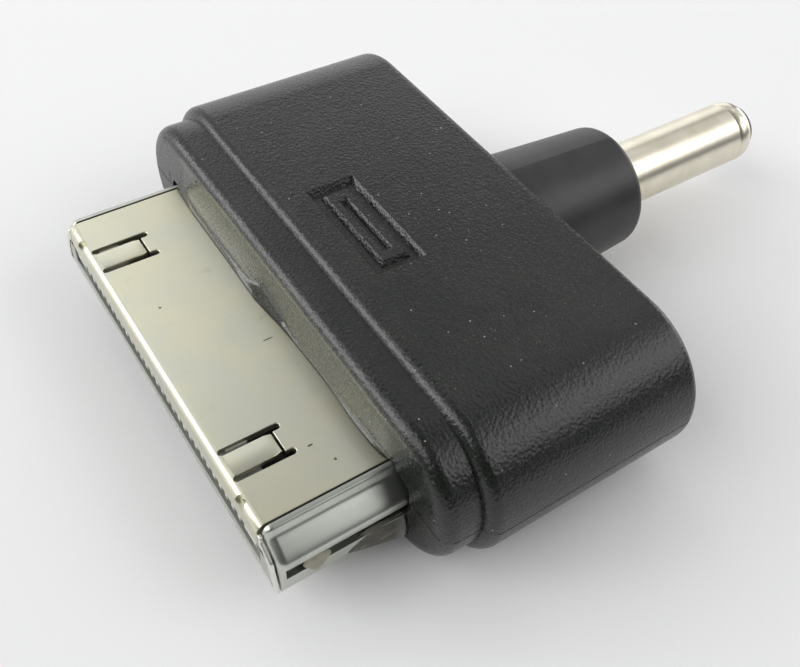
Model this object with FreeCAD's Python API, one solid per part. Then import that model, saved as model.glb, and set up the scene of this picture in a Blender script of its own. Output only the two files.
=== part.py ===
import FreeCAD, Part
import math
import os

# Charging tip: a wide many-contact plug at the front (-Y), a round barrel plug at the back (+Y).
# Frame: X along the wide plug, +Y from the wide plug to the barrel plug, +Z up.
# Origin: middle of the length and width, on the flat underside. Millimetres.

Vec = FreeCAD.Vector

# ---- housing
body_depth = 11.25
body_height = 8.0
body_step_side = 0.6    # body beyond the collar at each end
body_step_top = 0.375   # and above and below it
collar_margin = 2.62    # collar beyond the wide plug at each end
collar_depth = 1.75
wall = 1.2
body_front_edge = 0.6
body_rear_edge = 0.5
collar_edge = 0.7
plug_gap = 0.3          # housing opening around the wide plug
seat_gap = 0.05         # moulded parts that drop into each other
parting_groove = 0.06   # depth and width of the fine line where the halves meet

# ---- wide plug
plug_reach = 5.95       # ahead of the collar
plug_width = 21.96      # over the side ledges
plug_height = 3.15
plate_rise = 1.07       # top sheet above the parting plane
ledge_drop = 0.48       # ledge below the top sheet
ledge_width = 0.78      # flat ledge beside the riser
sheet = 0.25
side_wall = 0.26
seam = 0.07             # dark line round the top sheet
riser = 0.58            # rolled strip beside the seam
ledge_fillet = 0.22     # hollow corner between riser and ledge
fold_reach = 1.3        # how far the front fold comes down
fold_radius = 0.4
pillar = 0.65           # solid front corner of the lower shell
corner_radius = 0.5     # its rounded upright edge
shoulder_radius = 0.35  # outer edge of the ledge, rolled down into the side wall
riser_edge = 0.23       # top of the rolled strip
window_sill = 0.9       # lower band left under the side window
window_head = 1.04      # wall left above it, from the ledge down
ear_reach = 0.9         # lug that the housing clamps, beside the shell
ear_gap = 0.15          # between the lug and the housing's inner wall
clamp_rib = 1.2

# ---- mouth and contacts
mouth_cheek = 0.6       # moulding left at each end of the mouth
mouth_height = 0.5
mouth_depth = 5.2
mouth_floor = 0.78      # above the underside of the plug
contact_places = 30
contact_row_margin = 0.3
contact_width = 0.28
contact_thick = 0.18
contact_bow = 0.08      # how far a contact stands into the mouth
contact_ramp = 0.4      # length over which it bows
contact_flat = 1.75     # its touching length
slot_play = 0.02
comb_slot_height = 0.33
comb_depth = 1.35
comb_setback = 0.06     # nose of the comb behind the front of the plug
comb_gap = 0.03         # under the front fold
ground_places = (15, 16, 29, 30)
supply_places = (19, 20, 23)
data_places = (25, 27)

# ---- spring tabs
tab_inset = 3.0         # middle of a tab from the edge of the top sheet
tab_width = 1.1
tab_length = 2.1
tab_start = 0.4         # root, from the front of the plug
tab_slot = 0.27
tab_slot_length = 2.75
tab_cross_slit = 0.1
tab_root_gap = 0.03
tab_lift = 0.16         # free end above the plate
tab_edge = 0.08         # rounded free edge
tab_room = 0.35         # pocket under the tab
notch_radius = 0.3
notch_inset = 1.42

# ---- round boss and barrel plug
barrel_drop = 0.2       # axis below the parting plane
boss_length = 7.2
boss_root_radius = 3.78
boss_end_radius = 3.3
boss_edge = 0.45
boss_flange = 0.9
neck_wall = 0.5
flange_step = 0.3
barrel_reach = 10.65
barrel_radius = 1.75
barrel_wall = 0.4
barrel_root_step = 0.3  # thicker where the boss holds it
barrel_groove = 0.4     # ring cut that the end of the boss grips
barrel_groove_depth = 0.2
barrel_nose = 0.45
barrel_flange = 0.7
barrel_flange_step = 0.3
lug_length = 1.8
lug_width = 1.2
lug_thick = 0.3
lug_clear = 0.15
pin_hole_radius = 0.675
pin_hole_depth = 8.0
centre_wall = 0.27
centre_inset = 1.3      # centre contact behind the tip
centre_tail_radius = 0.45
centre_tail = 1.7
bush_flange = 0.4
ring_inset = 0.8
ring_head = 0.35
ring_head_step = 0.12
ring_edge = 0.2
ring_entry_radius = 0.85
tube_play = 0.02        # tubes that slide into each other

# ---- circuit board and wires
board_width = 16.4
board_depth = 3.7
board_thick = 0.8
board_gap = 0.1
tail_on_board = 0.9
solder_run = 0.5
part_spacing = 0.2      # clear board between two chips
resistor_size = (0.8, 1.6, 0.45)
capacitor_size = (1.25, 2.0, 0.9)
capacitor_place = 5.6
chip_edge = 0.06
wire_radius = 0.6
wire_on_board = 1.4
wire_swing = 1.1        # sideways step of each wire
wire_bend = 1.0
rest_width = 1.0
rest_inset = 2.2
hold_radius = 0.5
hold_inset = 0.8        # from the end of the board

# ---- joining pins
post_radius = 1.0
pin_radius = 0.5
pin_height = 1.1
post_inset = 3.1        # from the end of the body
front_post_setback = 1.6
rear_post_setback = 1.5

# ---- raised panel on top
mark_width = 6.2
mark_depth = 2.5
mark_border = 0.5
mark_sink = 0.3
mark_panel_sink = 0.04
mark_slot_width = 3.9
mark_slot = 0.55
mark_flare = 0.2        # how far each wall leans back
mark_setback = 3.0      # its centre behind the front of the body

over = 1.0              # how far a cut runs past the face it opens

# ---- places worked out from the sizes
length = plug_reach + collar_depth + body_depth + boss_length + barrel_reach
y_front = -length / 2
y_collar = y_front + plug_reach
y_body = y_collar + collar_depth
y_rear = y_body + body_depth
y_boss = y_rear + boss_length
y_tip = y_boss + barrel_reach
y_groove = y_boss - barrel_groove

z_mid = body_height / 2
z_plate = z_mid + plate_rise
z_ledge = z_plate - ledge_drop
z_floor = z_plate - plug_height
z_mouth = z_floor + mouth_floor
z_contact = z_mouth + mouth_height
z_axis = z_mid - barrel_drop

plug_half = plug_width / 2
riser_out = plug_half - ledge_width
riser_in = riser_out - riser
plate_half = riser_in - seam
mouth_width = 2 * (plate_half - sheet - mouth_cheek)
contact_pitch = (mouth_width - 2 * contact_row_margin) / contact_places
tab_centre = plate_half - tab_inset
notch_place = plate_half - notch_inset
collar_width = plug_width + 2 * collar_margin
collar_height = body_height - 2 * body_step_top
body_width = collar_width + 2 * body_step_side

y_ear = y_collar + wall
y_clamp = y_body
y_shell_back = y_clamp + clamp_rib
y_comb = y_front + sheet
y_carrier = y_comb + comb_depth
y_board = y_shell_back + board_gap
y_board_back = y_board + board_depth
y_inner = y_rear - wall
y_boss_in = y_inner - boss_flange
y_barrel_in = y_boss_in - barrel_flange
y_tail = y_barrel_in - bush_flange - centre_tail

hold_x = board_width / 2 - hold_inset
rest_x = board_width / 2 - rest_inset
neck_radius = barrel_radius + neck_wall
flange_radius = neck_radius + flange_step
barrel_bore = barrel_radius - barrel_wall
barrel_root_radius = barrel_radius + barrel_root_step
barrel_flange_radius = barrel_root_radius + barrel_flange_step
groove_radius = barrel_radius - barrel_groove_depth
lug_place = barrel_bore + lug_clear
centre_radius = pin_hole_radius + centre_wall


# ---- small builders
def box(x0, x1, y0, y1, z0, z1):
    return Part.makeBox(x1 - x0, y1 - y0, z1 - z0, Vec(x0, y0, z0))


def rod(radius, y0, y1, x=0.0, z=z_axis):
    """Cylinder along +Y."""
    return Part.makeCylinder(radius, y1 - y0, Vec(x, y0, z), Vec(0, 1, 0))


def cone(radius0, radius1, y0, y1):
    return Part.makeCone(radius0, radius1, y1 - y0, Vec(0, y0, z_axis), Vec(0, 1, 0))


def post(radius, x, y, z0, z1):
    return Part.makeCylinder(radius, z1 - z0, Vec(x, y, z0), Vec(0, 0, 1))


def slab(width, height, y0, y1):
    """Bar along Y whose section is a flat oval, centred on the parting plane."""
    radius = height / 2
    reach = width / 2 - radius
    top = z_mid + radius
    low = z_mid - radius
    wire = Part.Wire([
        Part.makeLine(Vec(-reach, y0, low), Vec(reach, y0, low)),
        Part.Arc(Vec(reach, y0, low), Vec(reach + radius, y0, z_mid), Vec(reach, y0, top)).toShape(),
        Part.makeLine(Vec(reach, y0, top), Vec(-reach, y0, top)),
        Part.Arc(Vec(-reach, y0, top), Vec(-reach - radius, y0, z_mid), Vec(-reach, y0, low)).toShape(),
    ])
    return Part.Face(wire).extrude(Vec(0, y1 - y0, 0))


def prism_y(points, y0, y1):
    """Polygon of (x, z) points drawn along Y."""
    corners = [Vec(x, y0, z) for x, z in points]
    return Part.Face(Part.makePolygon(corners + corners[:1])).extrude(Vec(0, y1 - y0, 0))


def prism_x(points, x0, x1):
    """Polygon of (y, z) points drawn along X."""
    corners = [Vec(x0, y, z) for y, z in points]
    return Part.Face(Part.makePolygon(corners + corners[:1])).extrude(Vec(x1 - x0, 0, 0))


def edges_where(shape, test):
    """Edges whose every vertex and whose middle meet the test."""
    found = []
    for edge in shape.Edges:
        middle = edge.valueAt((edge.FirstParameter + edge.LastParameter) / 2)
        places = [vertex.Point for vertex in edge.Vertexes] + [middle]
        if all(test(place) for place in places):
            found.append(edge)
    return found


def near(a, b):
    return abs(a - b) < 1e-4


def fuse_all(shapes):
    return shapes[0].multiFuse(shapes[1:]).removeSplitter()


def group(shapes):
    return Part.makeCompound(shapes)


def contact_x(place):
    return (place - (contact_places + 1) / 2) * contact_pitch


def both_sides(make):
    return [make(-1), make(1)]


def span(side, a, b):
    """Two x values on the given side, lowest first."""
    return sorted((side * a, side * b))


# ---- housing
def housing_block():
    body = slab(body_width, body_height, y_body, y_rear)
    body = body.makeFillet(body_front_edge, edges_where(body, lambda p: near(p.y, y_body)))
    body = body.makeFillet(body_rear_edge, edges_where(body, lambda p: near(p.y, y_rear)))
    collar = slab(collar_width, collar_height, y_collar, y_body + wall)
    collar = collar.makeFillet(collar_edge, edges_where(collar, lambda p: near(p.y, y_collar)))
    return body.fuse(collar).removeSplitter()


def parting_ring():
    """Fine ring round the housing at the parting plane."""
    skin = 2 * parting_groove
    body = slab(body_width - skin, body_height - skin, y_body + parting_groove, y_rear - parting_groove)
    collar = slab(collar_width - skin, collar_height - skin, y_collar + parting_groove, y_body + wall)
    band = box(-body_width, body_width, y_collar - over, y_rear + over,
               z_mid - parting_groove / 2, z_mid + parting_groove / 2)
    return band.cut(body.fuse(collar))


def cavity(y0=y_ear, y1=y_inner, gap=0.0):
    inset = 2 * (wall + gap)
    return slab(body_width - inset, body_height - inset, y0, y1)


def plug_section(y0, y1, gap=0.0):
    """Outline of the wide plug, raised middle on a wider base."""
    base = box(-plug_half - gap, plug_half + gap, y0, y1, z_floor - gap, z_ledge + gap)
    middle = box(-riser_out - gap, riser_out + gap, y0, y1, z_ledge, z_plate + gap)
    section = fuse_all([base, middle])
    return section.makeFillet(ledge_fillet, edges_where(
        section, lambda p: near(abs(p.x), riser_out + gap) and near(p.z, z_ledge + gap)))


def post_places():
    x = body_width / 2 - post_inset
    return [(side * x, y) for side in (-1, 1)
            for y in (y_shell_back + front_post_setback, y_inner - rear_post_setback)]


def shell_half(z0, z1):
    """Half of the housing between two heights: walls, clamp rib and posts."""
    half = box(-body_width, body_width, y_collar - over, y_rear + over, z0, z1)
    block = housing_block().common(half)
    rib = cavity(y_clamp, y_shell_back).common(half)
    posts = [post(post_radius, x, y, wall / 2, body_height - wall / 2).common(half)
             for x, y in post_places()]
    hollow = block.cut(cavity())
    half_shell = fuse_all([hollow, rib] + posts)
    for opening in (
        plug_section(y_collar - over, y_ear + seat_gap, plug_gap),
        plug_section(y_ear, y_shell_back + over),
        rod(neck_radius + seat_gap, y_inner - over, y_rear + over),
        rod(flange_radius + seat_gap, y_boss_in - over, y_inner),
        parting_ring(),
    ):
        half_shell = half_shell.cut(opening)
    return half_shell


def upper_housing():
    shell = shell_half(z_mid, body_height + over)
    for x, y in post_places():
        shell = shell.cut(post(pin_radius + seat_gap, x, y, z_mid - over, z_mid + pin_height + seat_gap))
    ceiling = body_height - wall
    holds = [post(hold_radius, side * hold_x, y_board_back - 2 * hold_radius,
                  z_contact, ceiling + wall / 2) for side in (-1, 1)]
    shell = fuse_all([shell] + holds)
    return shell.cut(top_mark())


def leaning_block(width, depth, flare):
    """Block at the mark, from the bottom of the recess to the top face, wider there by the flare."""
    y = y_body + mark_setback
    rims = []
    for z, grow in ((body_height - mark_sink, 0.0), (body_height, flare)):
        x0, x1 = -width / 2 - grow, width / 2 + grow
        y0, y1 = y - depth / 2 - grow, y + depth / 2 + grow
        rims.append(Part.makePolygon([Vec(x0, y0, z), Vec(x1, y0, z), Vec(x1, y1, z), Vec(x0, y1, z),
                                      Vec(x0, y0, z)]))
    return Part.makeLoft(rims, True, True)


def top_mark():
    """Sunk border round a panel with one slot: a plain mark for which way up the tip goes."""
    recess = leaning_block(mark_width - 2 * mark_flare, mark_depth - 2 * mark_flare, mark_flare)
    panel = leaning_block(mark_width - 2 * mark_border, mark_depth - 2 * mark_border, -mark_flare)
    slot = leaning_block(mark_slot_width - 2 * mark_flare, mark_slot - 2 * mark_flare, mark_flare)
    panel_top = box(-mark_width, mark_width, y_body, y_rear, body_height - mark_panel_sink, body_height)
    return recess.cut(panel.cut(slot).cut(panel_top))


def lower_housing():
    shell = shell_half(-over, z_mid)
    pins = [post(pin_radius, x, y, z_mid - over, z_mid + pin_height) for x, y in post_places()]
    rest_top = z_contact - board_thick
    rests = [box(side * rest_x - rest_width / 2, side * rest_x + rest_width / 2,
                 y_shell_back, y_board_back, wall / 2, rest_top) for side in (-1, 1)]
    return fuse_all([shell] + pins + rests)


# ---- wide plug
def tab_cut(side):
    """H-shaped cut round one spring tab."""
    x = side * tab_centre
    offset = (tab_width + tab_slot) / 2
    y0 = y_front + tab_start - tab_slot / 2
    y1 = y0 + tab_slot_length
    cuts = []
    for slot_x in (x - offset, x + offset):
        cuts.append(box(slot_x - tab_slot / 2, slot_x + tab_slot / 2,
                        y0 + tab_slot / 2, y1 - tab_slot / 2, z_plate - over, z_plate + over))
        cuts += [post(tab_slot / 2, slot_x, y, z_plate - over, z_plate + over)
                 for y in (y0 + tab_slot / 2, y1 - tab_slot / 2)]
    y_root = y_front + tab_start
    cuts.append(box(x - tab_width / 2, x + tab_width / 2, y_root,
                    y_root + tab_root_gap + tab_length + tab_cross_slit, z_plate - over, z_plate + over))
    return fuse_all(cuts)


def plug_top_shell():
    outer = box(-plate_half, plate_half, y_front, y_shell_back, z_plate - fold_reach, z_plate)
    outer = outer.makeFillet(fold_radius, edges_where(
        outer, lambda p: near(p.y, y_front) and near(p.z, z_plate)))
    inner_half = plate_half - sheet
    inner = box(-inner_half, inner_half, y_front + sheet, y_shell_back + over,
                z_plate - fold_reach - over, z_plate - sheet)
    inner = inner.makeFillet(fold_radius - sheet, edges_where(
        inner, lambda p: near(p.y, y_front + sheet) and near(p.z, z_plate - sheet)))
    shell = outer.cut(inner)
    for side in (-1, 1):
        shell = shell.cut(tab_cut(side))
        shell = shell.cut(post(notch_radius, side * notch_place, y_front,
                               z_plate - fold_radius, z_plate + over))
    return shell


def spring_tab(side):
    """Tongue of the top sheet, hinged at its front edge and set a little proud."""
    x = side * tab_centre
    root = y_front + tab_start + tab_root_gap
    tab = box(x - tab_width / 2, x + tab_width / 2, root, root + tab_length, z_plate - sheet, z_plate)
    free_edge = edges_where(tab, lambda p: near(p.y, root + tab_length) and near(p.z, z_plate))
    tab = tab.makeFillet(tab_edge, free_edge)
    tab.rotate(Vec(x, root, z_plate - sheet), Vec(1, 0, 0),
               math.degrees(math.asin(tab_lift / tab_length)))
    return tab


def lower_side(side):
    """Outer wall, ledge and rolled riser of the lower shell on one side."""
    profile = [
        (plug_half - 2 * side_wall, z_floor),
        (plug_half, z_floor),
        (plug_half, z_ledge),
        (riser_out, z_ledge),
        (riser_out, z_plate),
        (riser_in, z_plate),
        (riser_in, z_ledge - side_wall),
        (plug_half - side_wall, z_ledge - side_wall),
        (plug_half - side_wall, z_floor + side_wall),
        (plug_half - 2 * side_wall, z_floor + side_wall),
    ]
    bar = prism_y([(side * x, z) for x, z in profile], y_front, y_shell_back)
    pillar_x = span(side, riser_in, plug_half)
    bar = bar.fuse(box(*pillar_x, y_front, y_front + pillar, z_floor, z_ledge)).removeSplitter()
    bar = bar.makeFillet(riser_edge, edges_where(
        bar, lambda p: near(abs(p.x), riser_out) and near(p.z, z_plate)))
    bar = bar.makeFillet(ledge_fillet, edges_where(
        bar, lambda p: near(abs(p.x), riser_out) and near(p.z, z_ledge)))
    bar = bar.makeFillet(corner_radius, edges_where(
        bar, lambda p: near(abs(p.x), plug_half) and near(p.y, y_front)))
    bar = bar.makeFillet(shoulder_radius, edges_where(
        bar, lambda p: near(abs(p.x), plug_half) and near(p.z, z_ledge)))
    window_x = span(side, riser_out, plug_half + over)
    window = box(*window_x, y_front + pillar, y_collar + wall / 2,
                 z_floor + window_sill, z_ledge - window_head)
    ear = box(*span(side, plug_half - side_wall, plug_half + ear_reach), y_ear, y_clamp,
              z_floor, z_ledge - side_wall).common(cavity(gap=ear_gap))
    return bar.cut(window).fuse(ear)


def plug_lower_shell():
    half = plug_half - side_wall
    floor = box(-half, half, y_front, y_shell_back, z_floor, z_floor + side_wall)
    lip = box(-half, half, y_front, y_front + sheet, z_floor, z_mouth)
    return fuse_all([floor, lip] + both_sides(lower_side))


def contact_slots(y0, y1, height):
    half = contact_width / 2 + slot_play
    return group([box(contact_x(n) - half, contact_x(n) + half, y0, y1, z_contact, z_contact + height)
                  for n in range(1, contact_places + 1)])


def tab_pocket(side):
    x = side * tab_centre
    half = tab_width / 2 + tab_slot
    return box(x - half, x + half, y_front, y_front + tab_start + tab_slot_length,
               z_plate - sheet - tab_room, z_plate)


def carrier_block(y0, y1):
    """Moulded block that fills the plug between its two shells, with the mouth left open."""
    inner = plate_half - sheet
    wing = plug_half - side_wall
    block = fuse_all([
        box(-inner, inner, y0, y1, z_floor + side_wall, z_plate - sheet),
        box(-wing, wing, y0, y1, z_floor + side_wall, z_plate - fold_reach),
    ])
    block = block.cut(box(-mouth_width / 2, mouth_width / 2, y0 - over, y_front + mouth_depth,
                          z_mouth, z_contact))
    for side in (-1, 1):
        block = block.cut(tab_pocket(side))
    return block


def contact_comb():
    """Front nose of the carrier: the slots show as a row of teeth along the mouth."""
    y_nose = y_front + comb_setback
    half = mouth_width / 2 + mouth_cheek
    nose = box(-half, half, y_nose, y_comb, z_contact, z_plate - fold_reach - comb_gap)
    comb = carrier_block(y_comb, y_carrier).fuse(nose).removeSplitter()
    for side in (-1, 1):
        comb = comb.cut(box(*span(side, riser_in, plug_half), y_comb, y_front + pillar,
                            z_floor, z_ledge))
    rounded = box(-plate_half, plate_half, y_comb, y_comb + fold_radius, z_plate - fold_radius, z_plate)
    comb = comb.cut(rounded)
    return comb.cut(contact_slots(y_nose, y_carrier, comb_slot_height))


def contact_carrier():
    return carrier_block(y_carrier, y_shell_back).cut(
        contact_slots(y_carrier, y_shell_back, contact_thick))


def contact(place):
    """Stamped strip: bowed into the mouth in front, flat tail on the board behind."""
    start = y_comb + comb_depth / 2
    low_start = start + contact_ramp
    low_end = low_start + contact_flat
    z_low = z_contact - contact_bow
    low = [
        (start, z_contact),
        (low_start, z_low),
        (low_end, z_low),
        (low_end + contact_ramp, z_contact),
        (y_board + tail_on_board, z_contact),
    ]
    high = [(y, z + contact_thick) for y, z in reversed(low)]
    x = contact_x(place)
    return prism_x(low + high, x - contact_width / 2, x + contact_width / 2)


def contacts(places):
    return group([contact(place) for place in places])


# ---- circuit board
def circuit_board():
    return box(-board_width / 2, board_width / 2, y_board, y_board_back,
               z_contact - board_thick, z_contact)


def contact_solder():
    y0 = y_board + tail_on_board
    fillets = []
    for place in ground_places + supply_places + data_places:
        x = contact_x(place)
        fillets.append(prism_x([(y0, z_contact), (y0 + solder_run, z_contact),
                                (y0, z_contact + contact_thick)],
                               x - contact_width / 2, x + contact_width / 2))
    return group(fillets)


def chip(size, x):
    across, along, thick = size
    y1 = y_board_back - 2 * board_gap
    body = box(x - across / 2, x + across / 2, y1 - along, y1, z_contact, z_contact + thick)
    return body.makeFillet(chip_edge, edges_where(body, lambda p: near(p.z, z_contact + thick)))


def resistor(index):
    first = -hold_x + hold_radius + part_spacing + resistor_size[0] / 2
    return chip(resistor_size, first + index * (resistor_size[0] + part_spacing))


# ---- wires
def wire_run(x0, x1, y0, y1):
    """Insulated wire in a level plane: two straight ends and a soft sideways step between them."""
    middle = (y0 + y1 + wire_on_board) / 2
    step = Part.BezierCurve()
    step.setPoles([Vec(x0, middle - wire_bend, z_axis), Vec(x0, middle, z_axis),
                   Vec(x1, middle, z_axis), Vec(x1, middle + wire_bend, z_axis)])
    route = Part.Wire([
        Part.makeLine(Vec(x0, y0, z_axis), Vec(x0, middle - wire_bend, z_axis)),
        step.toShape(),
        Part.makeLine(Vec(x1, middle + wire_bend, z_axis), Vec(x1, y1, z_axis)),
    ])
    ring = Part.Wire(Part.makeCircle(wire_radius, Vec(x0, y0, z_axis), Vec(0, 1, 0)))
    return route.makePipeShell([ring], True, False)


def supply_wire():
    x1 = -centre_tail_radius - wire_radius
    return wire_run(x1 - wire_swing, x1, y_board_back - wire_on_board, y_barrel_in - bush_flange)


def ground_wire():
    x1 = lug_place + lug_thick + wire_radius
    return wire_run(x1 + wire_swing, x1, y_board_back - wire_on_board, y_barrel_in)


def wire_solder():
    """Solder ramps at the board end of each wire."""
    y1 = y_board_back - wire_on_board
    x_supply = -centre_tail_radius - wire_radius - wire_swing
    x_ground = lug_place + lug_thick + wire_radius + wire_swing
    return group([prism_x([(y1, z_contact), (y1, z_contact + wire_radius), (y1 - solder_run, z_contact)],
                          x - wire_radius / 2, x + wire_radius / 2) for x in (x_supply, x_ground)])


# ---- boss and barrel plug
def boss_sleeve():
    outside = cone(boss_root_radius, boss_end_radius, y_rear, y_boss)
    outside = outside.makeFillet(boss_edge, edges_where(outside, lambda p: near(p.y, y_boss)))
    sleeve = fuse_all([outside, rod(neck_radius, y_inner, y_rear), rod(flange_radius, y_boss_in, y_inner)])
    for radius, y0, y1 in (
        (barrel_radius, y_boss_in - over, y_rear),
        (barrel_root_radius, y_rear, y_groove),
        (groove_radius, y_groove, y_boss + over),
    ):
        sleeve = sleeve.cut(rod(radius + tube_play, y0, y1))
    return sleeve


def barrel_sleeve():
    end = y_tip - ring_head
    outside = rod(barrel_radius, y_barrel_in, end)
    outside = outside.makeFillet(barrel_nose - ring_head_step, edges_where(
        outside, lambda p: near(p.y, end)))
    root = rod(barrel_root_radius, y_rear, y_groove)
    flange = rod(barrel_flange_radius, y_barrel_in, y_boss_in)
    lug = box(lug_place, lug_place + lug_thick, y_barrel_in - lug_length, y_barrel_in,
              z_axis - lug_width / 2, z_axis + lug_width / 2)
    sleeve = fuse_all([outside, root, flange, lug])
    groove = rod(barrel_root_radius, y_groove, y_boss).cut(rod(groove_radius, y_groove, y_boss))
    return sleeve.cut(groove).cut(rod(barrel_bore, y_barrel_in, y_tip + over))


def barrel_bush():
    long_part = rod(barrel_bore - tube_play, y_barrel_in, y_tip - ring_head - ring_inset)
    back = rod(barrel_bore - tube_play, y_barrel_in - bush_flange, y_barrel_in)
    return fuse_all([long_part, back]).cut(
        rod(centre_radius + tube_play, y_barrel_in - bush_flange - over, y_tip))


def centre_contact():
    end = y_tip - centre_inset
    body = rod(centre_radius, y_barrel_in - bush_flange, end)
    tail = rod(centre_tail_radius, y_tail, y_barrel_in - bush_flange)
    return fuse_all([body, tail]).cut(rod(pin_hole_radius, end - pin_hole_depth, end + over))


def tip_ring():
    """Insulating ring that closes the end of the barrel."""
    start = y_tip - ring_head - ring_inset
    stem = rod(barrel_bore - tube_play, start, y_tip - ring_head)
    head = rod(barrel_radius - barrel_nose + ring_head_step, y_tip - ring_head, y_tip)
    head = head.makeFillet(ring_edge, edges_where(head, lambda p: near(p.y, y_tip)))
    ring = fuse_all([stem, head])
    ring = ring.cut(rod(ring_entry_radius, y_tip - centre_inset, y_tip + over))
    return ring.cut(rod(centre_radius + tube_play, start - over, y_tip - centre_inset))


nodes = {
    "upper_housing": upper_housing,
    "lower_housing": lower_housing,
    "plug_top_shell": plug_top_shell,
    "plug_lower_shell": plug_lower_shell,
    "left_spring_tab": lambda: spring_tab(-1),
    "right_spring_tab": lambda: spring_tab(1),
    "contact_comb": contact_comb,
    "contact_carrier": contact_carrier,
    "ground_contacts": lambda: contacts(ground_places),
    "supply_contacts": lambda: contacts(supply_places),
    "data_contacts": lambda: contacts(data_places),
    "circuit_board": circuit_board,
    "contact_solder": contact_solder,
    "data_plus_pullup": lambda: resistor(0),
    "data_plus_pulldown": lambda: resistor(1),
    "data_minus_pullup": lambda: resistor(2),
    "data_minus_pulldown": lambda: resistor(3),
    "supply_capacitor": lambda: chip(capacitor_size, capacitor_place),
    "supply_wire": supply_wire,
    "ground_wire": ground_wire,
    "wire_solder": wire_solder,
    "boss_sleeve": boss_sleeve,
    "barrel_sleeve": barrel_sleeve,
    "barrel_bush": barrel_bush,
    "centre_contact": centre_contact,
    "tip_ring": tip_ring,
}

os.makedirs("parts", exist_ok=True)
for name, make in nodes.items():
    shape = make()
    print(name, "solids", len(shape.Solids), "valid", shape.isValid(), "volume", round(shape.Volume, 3))
    shape.exportStep("parts/" + name + ".step")
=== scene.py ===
import math

import bmesh
import bpy
from mathutils import Euler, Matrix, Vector


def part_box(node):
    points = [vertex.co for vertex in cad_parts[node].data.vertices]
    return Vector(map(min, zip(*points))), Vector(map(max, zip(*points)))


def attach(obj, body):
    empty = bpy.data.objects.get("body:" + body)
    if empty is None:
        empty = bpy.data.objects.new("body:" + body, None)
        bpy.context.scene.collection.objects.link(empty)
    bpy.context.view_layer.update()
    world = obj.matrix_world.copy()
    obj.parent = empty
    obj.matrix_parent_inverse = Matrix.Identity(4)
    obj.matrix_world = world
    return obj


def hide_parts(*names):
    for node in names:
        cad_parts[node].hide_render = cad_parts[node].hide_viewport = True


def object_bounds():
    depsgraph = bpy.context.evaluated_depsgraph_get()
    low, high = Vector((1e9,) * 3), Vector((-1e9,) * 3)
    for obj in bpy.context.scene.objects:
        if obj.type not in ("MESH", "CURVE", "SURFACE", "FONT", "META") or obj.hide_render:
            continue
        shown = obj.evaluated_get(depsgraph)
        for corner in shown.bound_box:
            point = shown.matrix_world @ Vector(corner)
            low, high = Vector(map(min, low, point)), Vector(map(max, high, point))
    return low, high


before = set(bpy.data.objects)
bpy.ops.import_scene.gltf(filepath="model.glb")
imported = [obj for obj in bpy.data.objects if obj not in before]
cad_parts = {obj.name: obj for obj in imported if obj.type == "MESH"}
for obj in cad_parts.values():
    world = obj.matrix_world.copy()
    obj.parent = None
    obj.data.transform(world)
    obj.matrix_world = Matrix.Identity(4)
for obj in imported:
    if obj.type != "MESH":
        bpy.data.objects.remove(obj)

cadLow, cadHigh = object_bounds()
mm = 0.001
print("frame loaded,", len(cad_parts), "nodes")


class Value:
    # a shader value that can be written in a sum: each sign adds one Math node
    def __init__(self, finish, socket):
        self.finish = finish
        self.socket = socket

    def maths(self, operation, *values):
        return self.finish.node("ShaderNodeMath", {"operation": operation}, values)

    def __add__(self, other):
        return self.maths("ADD", self, other)

    def __radd__(self, other):
        return self.maths("ADD", other, self)

    def __sub__(self, other):
        return self.maths("SUBTRACT", self, other)

    def __rsub__(self, other):
        return self.maths("SUBTRACT", other, self)

    def __mul__(self, other):
        return self.maths("MULTIPLY", self, other)

    def __rmul__(self, other):
        return self.maths("MULTIPLY", other, self)

    def __truediv__(self, other):
        return self.maths("DIVIDE", self, other)

    def __abs__(self):
        return self.maths("ABSOLUTE", self)

    def __gt__(self, other):
        return self.maths("GREATER_THAN", self, other)

    def __lt__(self, other):
        return self.maths("LESS_THAN", self, other)

    def step(self, start, end):
        # 0 below start, 1 above end, smooth between
        return self.finish.node("ShaderNodeMapRange", {"interpolation_type": "SMOOTHSTEP"},
                                {"Value": self, "From Min": start, "From Max": end})


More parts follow.
